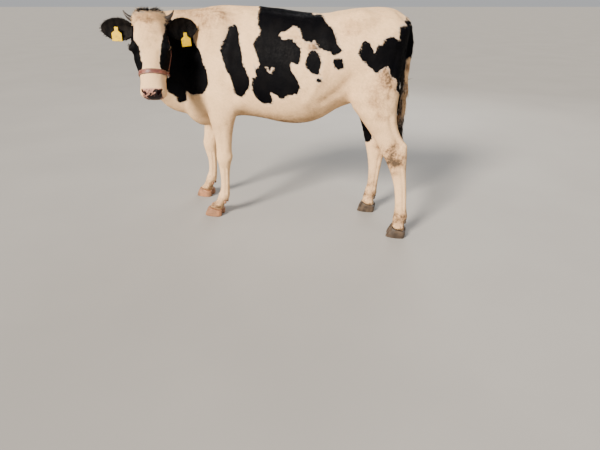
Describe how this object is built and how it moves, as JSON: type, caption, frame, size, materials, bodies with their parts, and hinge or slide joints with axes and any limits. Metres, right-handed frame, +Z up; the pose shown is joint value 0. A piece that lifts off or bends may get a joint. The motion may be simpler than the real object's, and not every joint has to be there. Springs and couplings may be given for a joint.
{
  "type": "standing heifer figure",
  "caption": "Life-size standing dairy heifer, black and white, head turned to its left, with small horns, a leather halter and plain yellow ear tags.",
  "frame": {"origin": "centre of the box on the floor, under the belly", "axes": "+Z up; the cow faces -X with its left side to -Y, and its head is turned to -Y; +X is towards the tail"},
  "size_m": [1.8213, 0.8034, 1.3378],
  "materials": {
    "coat": "short lying hair, cream white with black patches",
    "horn": "dark grey ringed horn, satin",
    "hoof_horn": "dull brown-grey hoof horn with growth rings",
    "eye": "wet dark brown eye",
    "halter_leather": "worn red-brown leather",
    "halter_ring": "dulled steel wire",
    "ear_tag": "yellow flexible plastic, plain"
  },
  "bodies": {
    "root": {"crown_strap": "halter_leather", "head": "coat", "left_ear": "coat", "left_eye": "eye", "left_fore_cannon": "coat", "left_fore_claw_a": "hoof_horn", "left_fore_claw_b": "hoof_horn", "left_fore_dewclaw_a": "hoof_horn", "left_fore_dewclaw_b": "hoof_horn", "left_fore_upper": "coat", "left_hind_cannon": "coat", "left_hind_claw_a": "hoof_horn", "left_hind_claw_b": "hoof_horn", "left_hind_dewclaw_a": "hoof_horn", "left_hind_dewclaw_b": "hoof_horn", "left_hind_upper": "coat", "left_horn": "horn", "left_ring": "halter_ring", "left_tag": "ear_tag", "left_tag_stud": "ear_tag", "neck": "coat", "noseband": "halter_leather", "right_ear": "coat", "right_eye": "eye", "right_fore_cannon": "coat", "right_fore_claw_a": "hoof_horn", "right_fore_claw_b": "hoof_horn", "right_fore_dewclaw_a": "hoof_horn", "right_fore_dewclaw_b": "hoof_horn", "right_fore_upper": "coat", "right_hind_cannon": "coat", "right_hind_claw_a": "hoof_horn", "right_hind_claw_b": "hoof_horn", "right_hind_dewclaw_a": "hoof_horn", "right_hind_dewclaw_b": "hoof_horn", "right_hind_upper": "coat", "right_horn": "horn", "right_ring": "halter_ring", "right_tag": "ear_tag", "right_tag_stud": "ear_tag", "tail_dock": "coat", "tail_switch": "coat", "trunk": "coat"}
  },
  "joints": []
}
